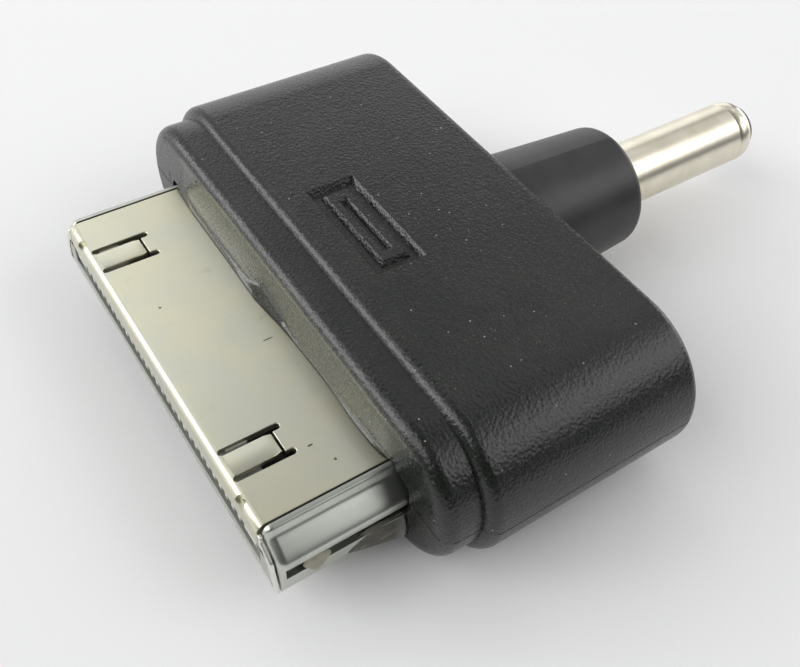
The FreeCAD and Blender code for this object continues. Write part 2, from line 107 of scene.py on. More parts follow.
class Finish:
    # one material: nodes are added to it, and shade() ends it in its shader
    def __init__(self, name):
        self.material = bpy.data.materials.new(name)
        self.material.use_nodes = True
        self.tree = self.material.node_tree
        self.tree.nodes.clear()

    def node(self, kind, settings=(), inputs=(), output=0):
        made = self.tree.nodes.new(kind)
        for name, value in dict(settings).items():
            setattr(made, name, value)
        pairs = inputs.items() if isinstance(inputs, dict) else enumerate(inputs)
        for key, value in pairs:
            self.feed(made.inputs[key], value)
        return Value(self, made.outputs[output]) if made.outputs else None

    def feed(self, socket, value):
        # links a shader value, or sets a plain number or colour
        if isinstance(value, Value):
            self.tree.links.new(value.socket, socket)
        elif socket.type == "RGBA" and len(value) == 3:
            socket.default_value = (*value, 1.0)
        else:
            socket.default_value = value

    def place(self):
        return self.node("ShaderNodeTexCoord", output="Object")

    def along(self, axis):
        return self.node("ShaderNodeSeparateXYZ", inputs=[self.place()], output="XYZ".index(axis))

    def stretched(self, scale):
        return self.node("ShaderNodeMapping", inputs={"Vector": self.place(), "Scale": scale})

    def noise(self, size, detail=2.0, roughness=0.5, place=None):
        # size is the width of one blotch, in metres
        return self.node("ShaderNodeTexNoise", inputs={
            "Vector": place or self.place(), "Scale": 1 / size,
            "Detail": detail, "Roughness": roughness})

    def cells(self, size, feature="F1", output="Distance"):
        return self.node("ShaderNodeTexVoronoi", {"feature": feature},
                         {"Vector": self.place(), "Scale": 1 / size}, output)

    def mix(self, share, first, second):
        # the node has sockets for every kind of value: 0, 6 and 7 are its share and its colours
        made = self.tree.nodes.new("ShaderNodeMix")
        made.data_type = "RGBA"
        for key, value in ((0, share), (6, first), (7, second)):
            self.feed(made.inputs[key], value)
        return Value(self, made.outputs[2])

    def bump(self, height, depth, strength=1.0):
        return self.node("ShaderNodeBump", inputs={
            "Height": height, "Distance": depth, "Strength": strength})

    def specks(self, spacing, size, share):
        # dust: a few of the cells hold one round grain
        grain = self.cells(spacing)
        pick = self.node("ShaderNodeSeparateColor", inputs=[self.cells(spacing, output="Color")])
        return (grain < size / spacing) * (pick < share)

    def spot(self, x, y, across, along):
        # 1 inside an oval seen from above, in millimetres
        off = (self.along("X") - x * mm) / (across * mm)
        ahead = (self.along("Y") - y * mm) / (along * mm)
        return (off * off + ahead * ahead) < 1.0

    def shade(self, **inputs):
        shader = self.node("ShaderNodeBsdfPrincipled", inputs={
            name.replace("_", " "): value for name, value in inputs.items()})
        self.node("ShaderNodeOutputMaterial", inputs={"Surface": shader})
        return self.material


housingLook = {
    "dark": (0.0060, 0.0078, 0.0066), "light": (0.0120, 0.0145, 0.0122), "dust": (0.46, 0.46, 0.38),
    "blotch": 2.5 * mm, "grain": 0.12 * mm, "grainRange": (0.3, 0.7), "pebble": 0.14 * mm,
    "grainShare": 0.7, "grainDepth": 0.021 * mm, "grainStrength": 0.9,
    "rough": 0.20, "grainRough": 0.14, "dustRough": 0.2,
    "dustSpacing": 0.45 * mm, "dustSize": 0.042 * mm, "dustShare": 0.22, "dustCover": 0.6,
    # finer dust: its spacing and size as shares of those above
    "fineSpacing": 0.4, "fineSize": 0.55, "fineShare": 0.35, "fineWhere": (0.4, 0.65),
    "fineCover": 0.35,
    # thin film of dust: its size as a share of the grain
    "filmSize": 0.6, "filmRange": (0.48, 0.72), "filmWhere": (0.35, 0.7), "filmCover": 0.09,
    # band of the collar's face above the wide plug, painted paler in speckled dust colour as a
    # painted reflection
    "faceFront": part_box("upper_housing")[0][1] + 0.03 * mm,
    "bandFrom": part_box("plug_top_shell")[1][2] + 0.1 * mm,
    "bandHalf": 9.75 * mm, "bandFade": 0.8 * mm, "bandGrain": 0.09 * mm,
    "bandRange": (0.42, 0.62), "bandPaintedSheen": 0.06, "bandSheenSpeckle": 0.14,
    "bandSmooth": 0.8, "bandShine": 0.3}


def housingBlack():
    look = housingLook
    finish = Finish("housingBlack")
    blotch = finish.noise(look["blotch"], detail=3.0)
    grain = finish.noise(look["grain"], detail=4.0, roughness=0.65)
    pebble = finish.cells(look["pebble"], "SMOOTH_F1")
    dust = finish.specks(look["dustSpacing"], look["dustSize"], look["dustShare"])
    fineDust = finish.specks(look["dustSpacing"] * look["fineSpacing"],
                             look["dustSize"] * look["fineSize"], look["fineShare"])
    film = finish.noise(look["grain"] * look["filmSize"], detail=4.0, roughness=0.75)
    film = film.step(*look["filmRange"]) * blotch.step(*look["filmWhere"])
    base = finish.mix(grain.step(*look["grainRange"]), look["dark"], look["light"])
    base = finish.mix(film * look["filmCover"], base, look["dust"])
    base = finish.mix(dust * look["dustCover"], base, look["dust"])
    base = finish.mix(fineDust * blotch.step(*look["fineWhere"]) * look["fineCover"],
                      base, look["dust"])
    # the band is smoother than the rest, and dusty; the paler dust colour over it is also a painted
    # reflection
    bandEnds = abs(finish.along("X")).step(look["bandHalf"] - look["bandFade"], look["bandHalf"])
    band = ((finish.along("Y") < look["faceFront"]) * (finish.along("Z") > look["bandFrom"])
            * (1 - bandEnds))
    speckle = finish.noise(look["bandGrain"], detail=3.0, roughness=0.7).step(*look["bandRange"])
    base = finish.mix(band * (look["bandPaintedSheen"] + look["bandSheenSpeckle"] * speckle),
                      base, look["dust"])
    rough = look["rough"] + look["grainRough"] * grain + look["dustRough"] * dust
    relief = (look["grainShare"] * grain + pebble) * (1 - look["bandSmooth"] * band)
    return finish.shade(
        Base_Color=base, Roughness=rough * (1 - look["bandShine"] * band),
        Normal=finish.bump(relief, look["grainDepth"], look["grainStrength"]))


bossLook = {
    "dark": (0.013, 0.0135, 0.012), "light": (0.022, 0.023, 0.021), "dust": (0.30, 0.30, 0.26),
    "blotch": 1.8 * mm, "blotchRange": (0.3, 0.7),
    "grain": 0.10 * mm, "grainDepth": 0.009 * mm, "grainStrength": 0.7,
    "rough": 0.32, "grainRough": 0.16,
    "dustSpacing": 0.6 * mm, "dustSize": 0.035 * mm, "dustShare": 0.12, "dustCover": 0.5}


def bossBlack():
    look = bossLook
    finish = Finish("bossBlack")
    blotch = finish.noise(look["blotch"], detail=3.0)
    grain = finish.noise(look["grain"], detail=3.0, roughness=0.6)
    dust = finish.specks(look["dustSpacing"], look["dustSize"], look["dustShare"])
    base = finish.mix(blotch.step(*look["blotchRange"]), look["dark"], look["light"])
    base = finish.mix(dust * look["dustCover"], base, look["dust"])
    return finish.shade(
        Base_Color=base, Roughness=look["rough"] + look["grainRough"] * grain,
        Normal=finish.bump(grain, look["grainDepth"], look["grainStrength"]))


sheetLook = {
    "warm": (0.70, 0.685, 0.53), "cool": (0.66, 0.66, 0.555), "stain": (0.34, 0.29, 0.21),
    "blotch": 3.0 * mm, "blotchRange": (0.35, 0.65),
    "smear": 1.1 * mm, "smearRange": (0.6, 0.8), "smearCover": 0.25,
    "grain": 0.05 * mm, "rolling": (0.04, 1, 1), "grainDepth": 0.002 * mm, "grainStrength": 0.25,
    "rough": 0.27, "rolledRough": 0.08, "smearRough": 0.06,
    "mark": (0.09, 0.075, 0.05), "markCover": 0.85, "markRough": 0.2,
    # marks on the sheet: middle and half width along X and Y, in millimetres
    "marks": [(1.585, -13.60, 0.035, 0.25), (8.45, -14.28, 0.07, 0.06),
              (7.37, -14.81, 0.05, 0.12), (-2.48, -16.84, 0.06, 0.06)]}


def plugSheet():
    look = sheetLook
    finish = Finish("plugSheet")
    rolled = finish.noise(look["grain"], detail=3.0, roughness=0.6,
                          place=finish.stretched(look["rolling"]))
    grain = finish.noise(look["grain"], detail=3.0, roughness=0.65)
    blotch = finish.noise(look["blotch"], detail=3.0)
    smear = finish.noise(look["smear"], detail=4.0, roughness=0.65)
    base = finish.mix(blotch.step(*look["blotchRange"]), look["warm"], look["cool"])
    base = finish.mix(smear.step(*look["smearRange"]) * look["smearCover"], base, look["stain"])
    marked = 0.0
    for x, y, across, along in look["marks"]:
        marked = finish.spot(x, y, across, along) + marked
    base = finish.mix(marked * look["markCover"], base, look["mark"])
    rough = (look["rough"] + look["rolledRough"] * rolled + look["smearRough"] * smear
             + look["markRough"] * marked)
    return finish.shade(
        Base_Color=base, Metallic=1.0, Roughness=rough,
        Normal=finish.bump(rolled + grain, look["grainDepth"], look["grainStrength"]))


frameLook = {
    "blotch": 1.6 * mm, "blotchRange": (0.35, 0.7),
    "grain": 0.05 * mm, "grainDepth": 0.0010 * mm, "grainStrength": 0.2,
    "rough": 0.29, "grainRough": 0.08, "blotchRough": 0.06}


def satinFrame(name, light, dark):
    look = frameLook
    finish = Finish(name)
    blotch = finish.noise(look["blotch"], detail=3.0)
    grain = finish.noise(look["grain"], detail=3.0, roughness=0.6)
    base = finish.mix(blotch.step(*look["blotchRange"]), light, dark)
    rough = look["rough"] + look["grainRough"] * grain + look["blotchRough"] * blotch
    return finish.shade(
        Base_Color=base, Metallic=1.0, Roughness=rough,
        Normal=finish.bump(grain, look["grainDepth"], look["grainStrength"]))


nickelLook = {
    "light": (0.82, 0.775, 0.65), "dark": (0.74, 0.69, 0.56),
    "blotch": 1.3 * mm, "blotchRange": (0.35, 0.7),
    "turned": 0.035 * mm, "turning": (0.03, 1, 0.03),
    "turnedDepth": 0.0010 * mm, "turnedStrength": 0.3, "rough": 0.26, "turnedRough": 0.10}


def barrelNickel():
    look = nickelLook
    finish = Finish("barrelNickel")
    turned = finish.noise(look["turned"], detail=2.0, roughness=0.6,
                          place=finish.stretched(look["turning"]))
    blotch = finish.noise(look["blotch"], detail=3.0)
    base = finish.mix(blotch.step(*look["blotchRange"]), look["light"], look["dark"])
    return finish.shade(
        Base_Color=base, Metallic=1.0, Roughness=look["rough"] + look["turnedRough"] * turned,
        Normal=finish.bump(turned, look["turnedDepth"], look["turnedStrength"]))


mouldedLook = {
    "blotch": 0.8 * mm, "blotchRange": (0.3, 0.7), "grain": 0.06 * mm,
    "grainRough": 0.12, "grainDepth": 0.003 * mm, "grainStrength": 0.5}


def moulded(name, dark, light, rough, stain=None):
    look = mouldedLook
    finish = Finish(name)
    blotch = finish.noise(look["blotch"], detail=3.0)
    grain = finish.noise(look["grain"], detail=3.0, roughness=0.6)
    base = finish.mix(blotch.step(*look["blotchRange"]), dark, light)
    if stain:
        base = stain(finish, base)
    return finish.shade(
        Base_Color=base, Roughness=rough + look["grainRough"] * grain,
        Normal=finish.bump(grain, look["grainDepth"], look["grainStrength"]))


combLook = {
    "dark": (0.50, 0.50, 0.48), "light": (0.58, 0.58, 0.56), "rough": 0.42,
    "stain": (0.015, 0.015, 0.016), "stainCover": 0.97,
    "wingFrom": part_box("plug_top_shell")[1][0] + 0.2 * mm}


def stainWings(finish, base):
    # the wings out to the sides of the pale comb are dark
    wing = abs(finish.along("X")) > combLook["wingFrom"]
    return finish.mix(wing * combLook["stainCover"], base, combLook["stain"])


platedLook = {
    "blotch": 0.7 * mm, "blotchRange": (0.3, 0.7), "grain": 0.04 * mm,
    "grainRough": 0.1, "grainDepth": 0.001 * mm, "grainStrength": 0.4}


def plated(name, first, second, rough):
    look = platedLook
    finish = Finish(name)
    blotch = finish.noise(look["blotch"], detail=3.0)
    grain = finish.noise(look["grain"], detail=2.0)
    base = finish.mix(blotch.step(*look["blotchRange"]), first, second)
    return finish.shade(
        Base_Color=base, Metallic=1.0, Roughness=rough + look["grainRough"] * grain,
        Normal=finish.bump(grain, look["grainDepth"], look["grainStrength"]))


resinLook = {
    "pale": (0.36, 0.34, 0.26), "dark": (0.060, 0.055, 0.036), "edge": (0.42, 0.42, 0.37),
    "paleTo": -15.7 * mm, "edgeFrom": -12.85 * mm, "edgeFade": 0.3 * mm, "edgeCover": 0.7,
    "streak": 0.22 * mm, "streakWay": (1, 0.3, 1), "streakCover": 0.5,
    "paleRange": (0.45, 0.75), "darkRange": (0.5, 0.8),
    "fine": 0.07 * mm, "fineShare": 0.3, "depth": 0.05 * mm, "strength": 0.6,
    "rough": 0.22, "streakRough": 0.2}


def setResin():
    # clear resin with dirt in it, set over the metal: pale at both ends, dark between
    look = resinLook
    finish = Finish("setResin")
    ahead = finish.along("Y")
    streak = finish.noise(look["streak"], detail=4.0, roughness=0.65,
                          place=finish.stretched(look["streakWay"]))
    fine = finish.noise(look["fine"], detail=3.0, roughness=0.6)
    base = finish.mix(streak.step(*look["paleRange"]) * look["streakCover"],
                      look["dark"], look["pale"])
    front = finish.mix(streak.step(*look["darkRange"]) * look["streakCover"],
                       look["pale"], look["dark"])
    base = finish.mix(ahead < look["paleTo"], base, front)
    edge = ahead.step(look["edgeFrom"] - look["edgeFade"], look["edgeFrom"] + look["edgeFade"])
    base = finish.mix(edge * look["edgeCover"], base, look["edge"])
    return finish.shade(
        Base_Color=base, Roughness=look["rough"] + look["streakRough"] * streak,
        Normal=finish.bump(streak + look["fineShare"] * fine, look["depth"], look["strength"]))


finishes = {
    "housing_black": housingBlack(),
    "boss_black": bossBlack(),
    "plug_sheet": plugSheet(),
    "plug_frame": satinFrame("plugFrame", (0.57, 0.59, 0.54), (0.50, 0.515, 0.47)),
    "barrel_nickel": barrelNickel(),
    "comb_grey": moulded("combGrey", combLook["dark"], combLook["light"], combLook["rough"],
                         stainWings),
    "carrier_black": moulded("carrierBlack", (0.018, 0.018, 0.019), (0.03, 0.03, 0.03), 0.5),
    "board_green": moulded("boardGreen", (0.010, 0.085, 0.03), (0.016, 0.12, 0.045), 0.3),
    "chip_black": moulded("chipBlack", (0.015, 0.015, 0.016), (0.03, 0.03, 0.03), 0.4),
    "capacitor_tan": moulded("capacitorTan", (0.36, 0.25, 0.15), (0.45, 0.33, 0.21), 0.35),
    "wire_red": moulded("wireRed", (0.36, 0.012, 0.010), (0.45, 0.02, 0.015), 0.35),
    "wire_black": moulded("wireBlack", (0.015, 0.015, 0.016), (0.03, 0.03, 0.03), 0.38),
    "bush_white": moulded("bushWhite", (0.62, 0.61, 0.57), (0.70, 0.69, 0.66), 0.4),
    "ring_black": moulded("ringBlack", (0.012, 0.012, 0.012), (0.024, 0.023, 0.022), 0.32),
    "contact_gold": plated("contactGold", (0.90, 0.66, 0.29), (0.82, 0.57, 0.23), 0.22),
    "solder": plated("solder", (0.62, 0.62, 0.61), (0.52, 0.52, 0.50), 0.30),
}
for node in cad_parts.values():
    slotName = node.material_slots[0].material.name
    node.material_slots[0].material = finishes[slotName]
print("finishes made,", len(finishes))


def addBlock(name, low, high):
    # a cube pulled to two opposite corners, in millimetres
    bpy.ops.object.select_all(action="DESELECT")
    middle = [(a + b) / 2 * mm for a, b in zip(low, high)]
    size = [(b - a) * mm for a, b in zip(low, high)]
    bpy.ops.mesh.primitive_cube_add(size=1, location=middle, scale=size)
    bpy.ops.object.transform_apply(location=True, rotation=True, scale=True)
    piece = bpy.context.object
    piece.name = name
    return piece


def addPost(name, place, radius, low, high, sides=32):
    # an upright cylinder
    bpy.ops.object.select_all(action="DESELECT")
    x, y = place
    bpy.ops.mesh.primitive_cylinder_add(
        vertices=sides, radius=radius * mm, depth=(high - low) * mm,
        location=(x * mm, y * mm, (low + high) / 2 * mm))
    bpy.ops.object.transform_apply(location=True, rotation=True, scale=True)
    piece = bpy.context.object
    piece.name = name
    return piece


def choose(piece):
    bpy.ops.object.select_all(action="DESELECT")
    bpy.context.view_layer.objects.active = piece
    piece.select_set(True)


def edit(piece):
    choose(piece)
    bpy.ops.object.mode_set(mode="EDIT")


def leave():
    bpy.ops.object.mode_set(mode="OBJECT")


def pick(piece, kind, test):
    # selects the corners, edges or faces that pass the test
    bpy.ops.mesh.select_mode(type=kind)
    bpy.ops.mesh.select_all(action="DESELECT")
    mesh = bmesh.from_edit_mesh(piece.data)
    parts = {"VERT": mesh.verts, "EDGE": mesh.edges, "FACE": mesh.faces}[kind]
    for part in [part for part in parts if test(part)]:
        part.select_set(True)
    mesh.select_flush_mode()
    bmesh.update_edit_mesh(piece.data)


def near(first, second, room=0.004):
    # two places in metres, no further apart than the room in millimetres
    return abs(first - second) < room * mm


def edgeAt(edge, axis, value):
    # both ends of the edge lie at this place along the axis, in millimetres
    return all(near(getattr(corner.co, axis), value * mm) for corner in edge.verts)


def sharp(edge, angle=30):
    # the two faces at the edge turn by more than the angle, in degrees
    return len(edge.link_faces) == 2 and edge.calc_face_angle() > math.radians(angle)


def modify(piece, kind, **settings):
    choose(piece)
    modifier = piece.modifiers.new(kind.lower(), kind)
    for name, value in settings.items():
        setattr(modifier, name, value)
    bpy.ops.object.modifier_apply(modifier=modifier.name)


def cut(piece, tool, operation="DIFFERENCE"):
    # takes the tool out of the piece, or joins it on, and uses the tool up
    modify(piece, "BOOLEAN", object=tool, operation=operation, solver="EXACT")
    bpy.data.objects.remove(tool)


# width of the plane a line starts from, how far off a drawn corner may lie, and merging
drawing = {"line": 0.1 * mm, "room": 0.002 * mm, "merge": 0.0005 * mm}


def startDrawing(name):
    # an empty piece, open for drawing
    bpy.ops.object.select_all(action="DESELECT")
    bpy.ops.mesh.primitive_plane_add(size=mm, location=(0, 0, 0))
    piece = bpy.context.object
    piece.name = name
    bpy.ops.object.mode_set(mode="EDIT")
    bpy.ops.mesh.select_mode(type="VERT")
    bpy.ops.mesh.delete(type="VERT")
    return piece


def drawLine(points):
    # a small plane shrunk to one corner, which is then pulled from point to point
    points = [Vector(point) * mm for point in points]
    bpy.ops.mesh.primitive_plane_add(size=drawing["line"], location=points[0])
    bpy.ops.mesh.merge(type="CENTER")
    for before, after in zip(points, points[1:]):
        bpy.ops.mesh.extrude_region_move(TRANSFORM_OT_translate={"value": after - before})


def atPoint(corner, points):
    return any((corner.co - Vector(point) * mm).length < drawing["room"] for point in points)


def onLine(edge, points):
    return all(atPoint(corner, points) for corner in edge.verts)


def drawSkin(name, rails):
    # lines of equal length joined side by side into a closed skin
    piece = startDrawing(name)
    for rail in rails:
        drawLine(rail)
    for first, second in zip(rails, rails[1:] + rails[:1]):
        pick(piece, "EDGE", lambda edge: onLine(edge, first) or onLine(edge, second))
        bpy.ops.mesh.bridge_edge_loops()
    for end in (0, -1):
        ring = [rail[end] for rail in rails]
        pick(piece, "EDGE", lambda edge: onLine(edge, ring))
        bpy.ops.mesh.edge_face_add()
    bpy.ops.mesh.select_all(action="SELECT")
    bpy.ops.mesh.normals_make_consistent(inside=False)
    leave()
    return piece


def roundEdges(piece, test, width, steps=3):
    # bevels the edges that pass the test, to a width in millimetres
    edit(piece)
    pick(piece, "EDGE", test)
    bpy.ops.mesh.bevel(offset=width * mm, segments=steps, affect="EDGES", clamp_overlap=False)
    leave()


def finishPiece(piece, body, slot, *nodes, finish=None, smooth=40):
    # nodes are the ones it stands for; smooth is the widest angle, in degrees, that looks round
    edit(piece)
    bpy.ops.mesh.select_all(action="SELECT")
    bpy.ops.mesh.remove_doubles(threshold=drawing["merge"])
    bpy.ops.mesh.normals_make_consistent(inside=False)
    leave()
    bpy.ops.object.shade_smooth_by_angle(angle=math.radians(smooth))
    modify(piece, "WEIGHTED_NORMAL", keep_sharp=True)
    piece.data.materials.clear()
    piece.data.materials.append(finish or finishes[slot])
    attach(piece, body)
    if nodes:
        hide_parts(*nodes)
    print("made", piece.name, len(piece.data.polygons), "faces")


def cornersOf(node):
    # lowest and highest corner of a node, in millimetres
    low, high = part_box(node)
    return Vector(low) / mm, Vector(high) / mm


# millimetres; openFaces is how straight down or back a face must look to be taken away
topSheet = {
    "thick": 0.25, "foldRound": 0.40, "foldSteps": 8, "edgeRound": 0.045, "openFaces": 0.9,
    "slotWidth": 0.30, "slotLength": 2.75, "slotStart": 0.265, "slit": 0.10, "justPast": 1e-7,
    "notch": 0.30, "notchInset": 1.42, "toolReach": 0.6, "notchReach": 1,
    "rimInset": 0.5, "rimDepth": 5, "rootRoom": 0.01, "sideRoom": 0.01, "sideSharp": 60,
    "tabWidth": 1.1, "tabTaper": 0.88, "tabRoot": 0.40, "tabLift": 0.12, "tabBends": 6,
    "rootGap": 0.002, "endGap": 0.01, "taperFrom": 0.1, "bendRoom": 0.02,
    "tabSharp": 50, "roundBelow": 0.05, "roundAhead": 0.1}
plugLow, plugHigh = cornersOf("plug_top_shell")
plugFront, plugTop = plugLow.y, plugHigh.z


def tabPlace(side):
    # middle across, root and free end of a tab
    low, high = cornersOf("left_spring_tab" if side < 0 else "right_spring_tab")
    return (low.x + high.x) / 2, low.y, high.y


def addSlot(x, start, end, width, reach):
    # a post whose far half is pulled along the sheet
    middle = start + width / 2
    tool = addPost("slotTool", (x, middle), width / 2, plugTop - reach, plugTop + reach)
    edit(tool)
    pick(tool, "VERT", lambda corner: corner.co.y > middle * mm + topSheet["justPast"])
    bpy.ops.transform.translate(value=(0, (end - start - width) * mm, 0))
    leave()
    return tool


def makeTopSheet():
    # a block rounded at its front fold, opened below and behind, thickened and cut
    look = topSheet
    piece = addBlock("plugTopSheet", plugLow, plugHigh)
    roundEdges(piece, lambda edge: edgeAt(edge, "y", plugFront) and edgeAt(edge, "z", plugTop),
               look["foldRound"], steps=look["foldSteps"])
    edit(piece)
    pick(piece, "FACE", lambda face: face.normal.z < -look["openFaces"]
         or face.normal.y > look["openFaces"])
    bpy.ops.mesh.delete(type="FACE")
    leave()
    modify(piece, "SOLIDIFY", thickness=look["thick"] * mm, offset=-1, use_even_offset=True)
    below, above = plugTop - look["toolReach"], plugTop + look["toolReach"]
    for side in (-1, 1):
        x, _, end = tabPlace(side)
        start = plugFront + look["slotStart"]
        step = (look["tabWidth"] + look["slotWidth"]) / 2
        for place in (x - step, x + step):
            cut(piece, addSlot(place, start, start + look["slotLength"], look["slotWidth"],
                               look["toolReach"]))
        cut(piece, addBlock("openingTool", (x - step, plugFront + look["tabRoot"], below),
                            (x + step, end + look["slit"], above)))
        notchX = side * (plugHigh.x - look["notchInset"])
        cut(piece, addPost("notchTool", (notchX, plugFront), look["notch"],
                           plugTop - look["foldRound"], plugTop + look["notchReach"]))

    def slotRim(edge):
        middle = (edge.verts[0].co + edge.verts[1].co) / 2
        root = near(middle.y, (plugFront + look["tabRoot"]) * mm, look["rootRoom"])
        inside = (abs(middle.x) < (plugHigh.x - look["rimInset"]) * mm
                  and middle.y < (plugFront + look["rimDepth"]) * mm)
        return edgeAt(edge, "z", plugTop) and sharp(edge) and inside and not root

    def sideRim(edge):
        outside = (plugHigh.x - look["sideRoom"]) * mm
        return (sharp(edge, look["sideSharp"])
                and all(abs(corner.co.x) > outside for corner in edge.verts))

    roundEdges(piece, slotRim, look["edgeRound"])
    roundEdges(piece, sideRim, look["edgeRound"], steps=2)
    finishPiece(piece, "housing", "plug_sheet", "plug_top_shell")


def makeTab(side):
    # the tongue in one opening of the top sheet
    look = topSheet
    x, root, end = tabPlace(side)
    name, body, node = (("leftTab", "left_tab", "left_spring_tab") if side < 0
                        else ("rightTab", "right_tab", "right_spring_tab"))
    high = cornersOf(node)[1]
    half = look["tabWidth"] / 2
    length = end - root
    bends = look["tabBends"]
    rootEdge = plugFront + look["tabRoot"] + look["rootGap"]
    piece = addBlock(name, (x - half, rootEdge, plugTop - look["thick"]),
                     (x + half, end - look["endGap"], plugTop))
    edit(piece)
    pick(piece, "EDGE", lambda edge: abs(edge.verts[0].co.y - edge.verts[1].co.y) > mm)
    bpy.ops.mesh.subdivide(number_cuts=bends)
    # the free end is a little narrower, and lifts off in an easy curve
    pick(piece, "VERT", lambda corner: corner.co.y > (end - look["taperFrom"]) * mm)
    bpy.ops.transform.resize(value=(look["tabTaper"], 1, 1),
                             center_override=(x * mm, end * mm, plugTop * mm))
    lift = (high.z - plugTop) * look["tabLift"] / bends * mm
    for step in range(2, bends + 2):
        start = root + (length + look["bendRoom"]) * (step - 0.5) / (bends + 1)
        pick(piece, "VERT", lambda corner: corner.co.y > start * mm)
        bpy.ops.transform.translate(value=(0, 0, lift))
    leave()

    def tabRim(edge):
        lowest = min(corner.co.z for corner in edge.verts)
        furthest = max(corner.co.y for corner in edge.verts)
        return (sharp(edge, look["tabSharp"]) and lowest > (plugTop - look["roundBelow"]) * mm
                and furthest > (root + look["roundAhead"]) * mm)

    roundEdges(piece, tabRim, look["edgeRound"])
    finishPiece(piece, body, "plug_sheet", node)


lowerShell = {
    "overhang": 1.43, "thick": 0.26, "ledgeDrop": 0.48, "shoulderFrom": 0.07,
    # the shoulder from the seam out to the wall: (across, up)
    "shoulder": [(0.0, 0.0), (0.14, 0.0), (0.21, -0.01), (0.26, -0.05), (0.30, -0.13),
                 (0.335, -0.24), (0.37, -0.34), (0.42, -0.42), (0.50, -0.49), (0.60, -0.56),
                 (0.72, -0.65), (0.86, -0.76), (1.00, -0.87), (1.12, -0.97), (1.22, -1.06),
                 (1.30, -1.15), (1.345, -1.25), (1.36, -1.36)],
    "foot": [(0.0, 0.30), (0.04, 0.15), (0.15, 0.04), (0.30, 0.0)],
    "underStep": 0.42, "frontRound": 0.42, "frontSteps": 6, "footRound": 0.05, "seam": 0.09,
    "rim": 0.13, "rimGap": 0.06, "rimRound": 0.05,
    "toolIn": 0.02, "pillar": 0.45, "pillarSlack": 0.03, "pillarFoot": 0.08, "pillarHead": 0.60,
    "sill": 1.0, "head": 1.04, "windowIn": 0.58, "windowPast": 1, "windowEnd": 6.55,
    "edgeRound": 0.04, "lip": 0.78, "lipFoot": 0.07, "lipInset": 0.2,
    "rimSharp": 60, "rimRoom": 0.01, "rimFrom": 0.5, "rimTo": 7}


def insetRail(place, lean, look, yFront, yBack, room):
    # one corner of the section drawn along the plug; near the front it turns in by the room
    rail = []
    for step in range(look["frontSteps"] + 1):
        turn = math.radians(90) * step / look["frontSteps"]
        shift = lean * room * (math.sin(turn) - 1)
        along = yFront + room * (1 - math.cos(turn))
        rail.append((place.x + shift.x, along, place.y + shift.y))
    return rail + [(place.x, yBack, place.y)]


def makeLowerShell():
    # a section drawn along the plug on both sides, and its rim in front, painted paler than the
    # frame as a painted highlight
    look = lowerShell
    low = cornersOf("plug_lower_shell")[0]
    half = plugHigh.x + look["overhang"]  # over the side ledges
    start = plugHigh.x + look["seam"]
    floor = low.z
    ledge = plugTop - look["ledgeDrop"]
    right = [Vector((plugHigh.x + look["shoulderFrom"] + across, plugTop + up))
             for across, up in look["shoulder"]]
    right[0].x = start
    right += [Vector((half - across, floor + up)) for across, up in look["foot"]]
    inner = half - look["thick"]
    roof = ledge - look["thick"]
    # the inside of the section: (x, z) and the way in from there
    under = [(inner, floor + look["thick"], 1, 0), (inner, ledge - look["head"], 0.9, 0.4),
             (start + look["underStep"], roof, 0.3, 0.9), (start, roof, 0, 1)]
    count = len(look["shoulder"])

    def closedRails(front, back, shift, sideRoom, footRoom):
        rails = []
        for index, place in enumerate(right):
            # the way in swings from down at the seam, over level at the wall, to up at the foot
            onFoot = index >= count
            turn = (1 + (index - count) / (len(look["foot"]) - 1) if onFoot
                    else index / (count - 1))
            lean = Vector((math.sin(turn * math.pi / 2), math.cos(turn * math.pi / 2)))
            moved = place if onFoot else place - lean * shift
            rails.append(insetRail(moved, lean, look, front, back,
                                   footRoom if onFoot else sideRoom))
        innerRails = []
        for index, (x, z, leanX, leanZ) in enumerate(under):
            lean = Vector((leanX, leanZ))
            room = footRoom if index == 0 else sideRoom
            moved = Vector((x, z)) - lean * (0 if index == 0 else shift)
            innerRails.append(insetRail(moved, lean, look, front, back, room))
        return rails + otherSide(rails) + otherSide(innerRails) + innerRails

    def otherSide(lines):
        return [[(-x, y, z) for x, y, z in line] for line in reversed(lines)]

    front = low.y + look["rim"] + look["rimGap"]
    rim = drawSkin("plugRimPaintedBright", closedRails(
        low.y, low.y + look["rim"], look["frontRound"] - look["rimRound"],
        look["rimRound"], look["rimRound"]))
    piece = drawSkin("plugLowerShell", closedRails(
        front, plugHigh.y, 0, look["frontRound"], look["footRound"]))
    nose = low.y + look["toolIn"]
    for side in (-1, 1):
        xs = sorted((side * (start + look["toolIn"]),
                     side * (half - look["frontRound"] - look["pillarSlack"])))
        top = ledge - look["pillarHead"] - look["frontRound"]
        cut(piece, addBlock("pillarTool", (xs[0], nose, floor + look["pillarFoot"]),
                            (xs[1], low.y + look["pillar"], top)), "UNION")
        xs = sorted((side * (start + look["windowIn"]), side * (half + look["windowPast"])))
        cut(piece, addBlock("windowTool", (xs[0], low.y + look["pillar"], floor + look["sill"]),
                            (xs[1], low.y + look["windowEnd"], ledge - look["head"])))
    lipHalf = inner - look["lipInset"]
    cut(piece, addBlock("lipTool", (-lipHalf, nose, floor + look["lipFoot"]),
                        (lipHalf, low.y + look["thick"], floor + look["lip"])), "UNION")

    def windowRim(edge):
        first, second = (corner.co for corner in edge.verts)
        return (sharp(edge, look["rimSharp"])
                and min(abs(first.x), abs(second.x)) > (half - look["rimRoom"]) * mm
                and min(first.y, second.y) > (low.y + look["rimFrom"]) * mm
                and max(first.y, second.y) < (low.y + look["rimTo"]) * mm)

    roundEdges(piece, windowRim, look["edgeRound"], steps=2)
    finishPiece(piece, "housing", "plug_frame", "plug_lower_shell")
    finishPiece(rim, "housing", "plug_frame", finish=paintedBrightRimFinish)


